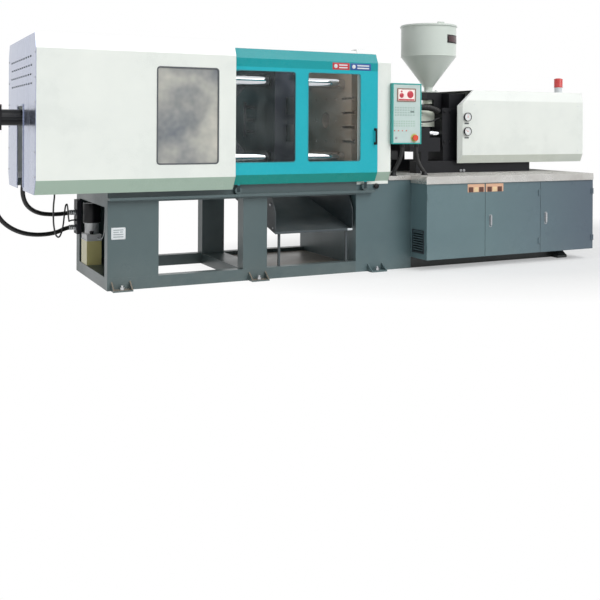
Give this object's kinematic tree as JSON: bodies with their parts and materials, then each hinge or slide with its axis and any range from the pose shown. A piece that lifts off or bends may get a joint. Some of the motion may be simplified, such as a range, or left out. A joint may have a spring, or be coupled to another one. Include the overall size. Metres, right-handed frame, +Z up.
{
  "type": "injection moulding machine",
  "caption": "Horizontal injection moulding machine with toggle clamp, sliding safety doors, hopper, covered injection unit and service cabinet.",
  "frame": {"origin": "on the floor below the middle pedestal, on the machine's centre line", "axes": "+X along the machine from the clamp to the injection unit, +Y to the rear, +Z up"},
  "size_m": [6.385, 1.643, 2.515],
  "materials": {
    "bed_paint": "satin slate grey enamel",
    "guard_white": "semi-gloss off-white enamel",
    "door_teal": "semi-gloss turquoise enamel",
    "platen_steel": "machined face, dark primer at the sides",
    "bright_steel": "hard chromed and ground",
    "black_paint": "satin black",
    "stainless": "polished sheet",
    "smoked_pane": "smoked polycarbonate",
    "clear_pane": "clear polycarbonate",
    "deck_aluminium": "checker plate",
    "hopper_paint": "satin pale grey",
    "hose_rubber": "matte",
    "pump_grey": "grey enamel",
    "oil_tank": "translucent, filled with oil",
    "estop_red": "glossy orange red",
    "lamp_red": "translucent red",
    "gauge_face": "white dial behind glass",
    "barrel_guard_cream": "cream enamel"
  },
  "bodies": {
    "machine": {"base_frame": "bed_paint", "pedestals": "bed_paint", "bed_beams": "bed_paint", "bed_block": "bed_paint", "injection_bed": "bed_paint", "product_chute": "bed_paint", "fixed_platen": "platen_steel", "rear_platen": "platen_steel", "tie_bars": "bright_steel", "tie_bar_nuts": "platen_steel", "closing_cylinder": "black_paint", "clamp_guard_front": "guard_white", "clamp_guard_rear": "guard_white", "clamp_guard_top": "guard_white", "guard_window": "smoked_pane", "end_cover": "stainless", "door_rails": "bed_paint", "fixed_guards": "guard_white", "cabinet_body": "bed_paint", "deck_plate": "deck_aluminium", "injection_base": "black_paint", "guide_rods": "bright_steel", "control_panel": "door_teal", "lubricator": "pump_grey", "lubricator_tank": "oil_tank", "hose_manifold": "platen_steel", "hose_upper": "hose_rubber", "hose_lower": "hose_rubber", "cable_loop": "hose_rubber", "conduit_left": "hose_rubber", "conduit_right": "hose_rubber"},
    "moving_platen": {"moving_platen": "platen_steel"},
    "rear_links_upper": {"rear_links_upper": "platen_steel"},
    "rear_links_lower": {"rear_links_lower": "platen_steel"},
    "front_links_upper": {"front_links_upper": "platen_steel"},
    "front_links_lower": {"front_links_lower": "platen_steel"},
    "crosshead": {"crosshead": "platen_steel"},
    "ejector": {"ejector": "bright_steel"},
    "safety_door": {"safety_door": "door_teal", "door_panes": "clear_pane", "door_handle": "black_paint"},
    "door_roller_left": {"door_roller_left": "bright_steel"},
    "door_roller_right": {"door_roller_right": "bright_steel"},
    "rear_door": {"rear_door": "door_teal"},
    "cabinet_door_left": {"cabinet_door_left": "bed_paint"},
    "cabinet_door_middle": {"cabinet_door_middle": "bed_paint"},
    "cabinet_door_right": {"cabinet_door_right": "bed_paint"},
    "latch_middle": {"latch_middle": "bright_steel"},
    "latch_right": {"latch_right": "bright_steel"},
    "estop_button": {"estop_button": "estop_red"},
    "injection_carriage": {"injection_carriage": "black_paint", "barrel": "platen_steel", "barrel_guard": "barrel_guard_cream", "hopper": "hopper_paint", "injection_cover": "guard_white", "pressure_gauges": "gauge_face", "signal_lamp": "lamp_red"},
    "drive_unit": {"drive_unit": "platen_steel"},
    "screw": {"screw": "bright_steel"},
    "hopper_lid": {"hopper_lid": "hopper_paint"}
  },
  "joints": [
    {"name": "platen_slide", "type": "slide", "parent": "machine", "child": "moving_platen", "axis": [1, 0, 0], "range_m": [0, 0.32]},
    {"name": "crosshead_slide", "type": "slide", "parent": "machine", "child": "crosshead", "axis": [1, 0, 0], "range_m": [0, 0.25]},
    {"name": "rear_link_upper_pivot", "type": "hinge", "parent": "machine", "child": "rear_links_upper", "pos_m": [-0.385, 0, 1.845], "axis": [0, 1, 0], "range_deg": [-46.09, 0]},
    {"name": "rear_link_lower_pivot", "type": "hinge", "parent": "machine", "child": "rear_links_lower", "pos_m": [-0.385, 0, 1.075], "axis": [0, 1, 0], "range_deg": [0, 46.09]},
    {"name": "front_link_upper_pivot", "type": "hinge", "parent": "moving_platen", "child": "front_links_upper", "pos_m": [0.085, 0, 1.845], "axis": [0, 1, 0], "range_deg": [0, 37.73]},
    {"name": "front_link_lower_pivot", "type": "hinge", "parent": "moving_platen", "child": "front_links_lower", "pos_m": [0.085, 0, 1.075], "axis": [0, 1, 0], "range_deg": [-37.73, 0]},
    {"name": "ejector_slide", "type": "slide", "parent": "moving_platen", "child": "ejector", "axis": [1, 0, 0], "range_m": [0, 0.095]},
    {"name": "safety_door_slide", "type": "slide", "parent": "machine", "child": "safety_door", "axis": [1, 0, 0], "range_m": [-1.12, 0]},
    {"name": "door_roller_left_spin", "type": "hinge", "parent": "safety_door", "child": "door_roller_left", "pos_m": [-0.182, -0.6385, 0.819], "axis": [0, 1, 0], "range_deg": [-1944.68, 0]},
    {"name": "door_roller_right_spin", "type": "hinge", "parent": "safety_door", "child": "door_roller_right", "pos_m": [1.128, -0.6385, 0.819], "axis": [0, 1, 0], "range_deg": [-1944.68, 0]},
    {"name": "rear_door_slide", "type": "slide", "parent": "machine", "child": "rear_door", "axis": [1, 0, 0], "range_m": [-1.12, 0]},
    {"name": "cabinet_door_left_hinge", "type": "hinge", "parent": "machine", "child": "cabinet_door_left", "pos_m": [1.681, -0.8878, 0.477], "axis": [0, 0, 1], "range_deg": [-110, 0]},
    {"name": "cabinet_door_middle_hinge", "type": "hinge", "parent": "machine", "child": "cabinet_door_middle", "pos_m": [3.081, -0.8878, 0.477], "axis": [0, 0, 1], "range_deg": [0, 110]},
    {"name": "cabinet_door_right_hinge", "type": "hinge", "parent": "machine", "child": "cabinet_door_right", "pos_m": [3.804, -0.8878, 0.477], "axis": [0, 0, 1], "range_deg": [0, 110]},
    {"name": "latch_middle_turn", "type": "hinge", "parent": "cabinet_door_middle", "child": "latch_middle", "pos_m": [2.445, -0.8825, 0.505], "axis": [0, -1, 0], "range_deg": [0, 90]},
    {"name": "latch_right_turn", "type": "hinge", "parent": "cabinet_door_right", "child": "latch_right", "pos_m": [3.157, -0.8825, 0.505], "axis": [0, -1, 0], "range_deg": [0, 90]},
    {"name": "estop_press", "type": "slide", "parent": "machine", "child": "estop_button", "axis": [0, 1, 0], "range_m": [0, 0.006], "stiffness_N_per_m": 400},
    {"name": "carriage_slide", "type": "slide", "parent": "machine", "child": "injection_carriage", "axis": [1, 0, 0], "range_m": [-0.05, 0.25]},
    {"name": "injection_stroke", "type": "slide", "parent": "injection_carriage", "child": "drive_unit", "axis": [1, 0, 0], "range_m": [0, 0.2]},
    {"name": "screw_rotation", "type": "hinge", "parent": "drive_unit", "child": "screw", "pos_m": [2, 0, 1.46], "axis": [1, 0, 0], "continuous": true},
    {"name": "hopper_lid_hinge", "type": "hinge", "parent": "injection_carriage", "child": "hopper_lid", "pos_m": [2.29, 0.312, 2.488], "axis": [-1, 0, 0], "range_deg": [0, 100]}
  ],
  "couplings": [
    {"joint": "crosshead_slide", "follows": "platen_slide", "ratio": 0.78},
    {"joint": "rear_link_upper_pivot", "follows": "platen_slide", "rad_per_m": -2.5133},
    {"joint": "rear_link_lower_pivot", "follows": "platen_slide", "rad_per_m": 2.5133},
    {"joint": "front_link_upper_pivot", "follows": "platen_slide", "rad_per_m": 2.0576},
    {"joint": "front_link_lower_pivot", "follows": "platen_slide", "rad_per_m": -2.0576},
    {"joint": "door_roller_left_spin", "follows": "safety_door_slide", "rad_per_m": 30.303},
    {"joint": "door_roller_right_spin", "follows": "safety_door_slide", "rad_per_m": 30.303}
  ]
}
